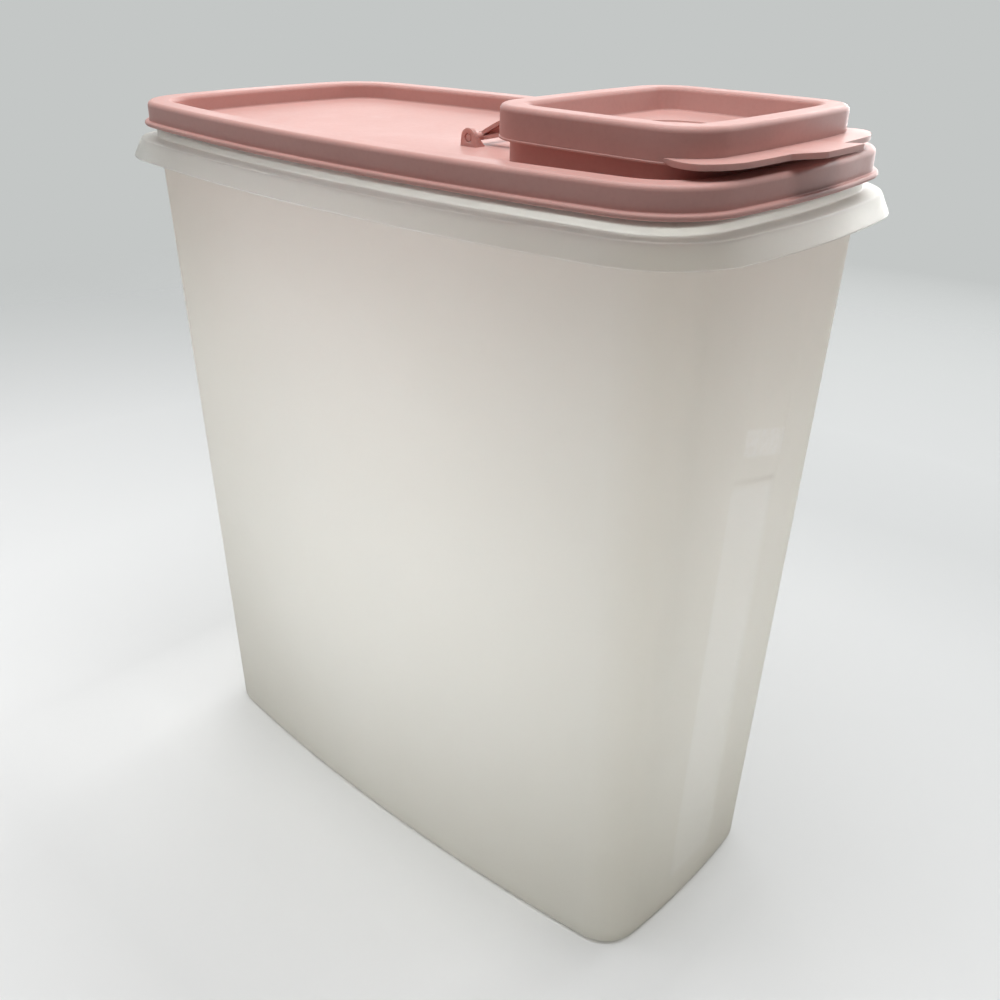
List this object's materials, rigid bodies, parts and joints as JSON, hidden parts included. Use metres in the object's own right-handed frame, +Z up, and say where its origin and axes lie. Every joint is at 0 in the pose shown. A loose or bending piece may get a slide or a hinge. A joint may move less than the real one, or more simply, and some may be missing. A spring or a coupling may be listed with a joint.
{
  "type": "cereal container with flip spout",
  "caption": "Tall translucent food container with bowed, drafted walls, a press-on lid with a raised rim, and a hinged flip cap over its rectangular pour neck.",
  "frame": {"origin": "centre of the base on the surface it stands on", "axes": "+X to the pouring end, +Y along the short side, +Z up"},
  "size_m": [0.2364, 0.1326, 0.2528],
  "materials": {
    "clear_plastic": "translucent, milky, smooth",
    "pink_plastic": "satin moulded"
  },
  "bodies": {
    "container": {"container": "clear_plastic", "collar": "clear_plastic"},
    "lid": {"lid": "pink_plastic", "hinge_ears": "pink_plastic"},
    "flip_cap": {"flip_cap": "pink_plastic", "cap_yoke": "pink_plastic"}
  },
  "joints": [
    {"name": "lid_lift", "type": "slide", "parent": "container", "child": "lid", "axis": [0, 0, 1], "range_m": [0, 0.06]},
    {"name": "cap_hinge", "type": "hinge", "parent": "lid", "child": "flip_cap", "pos_m": [0.0107, 0, 0.239], "axis": [0, -1, 0], "range_deg": [0, 155]}
  ]
}
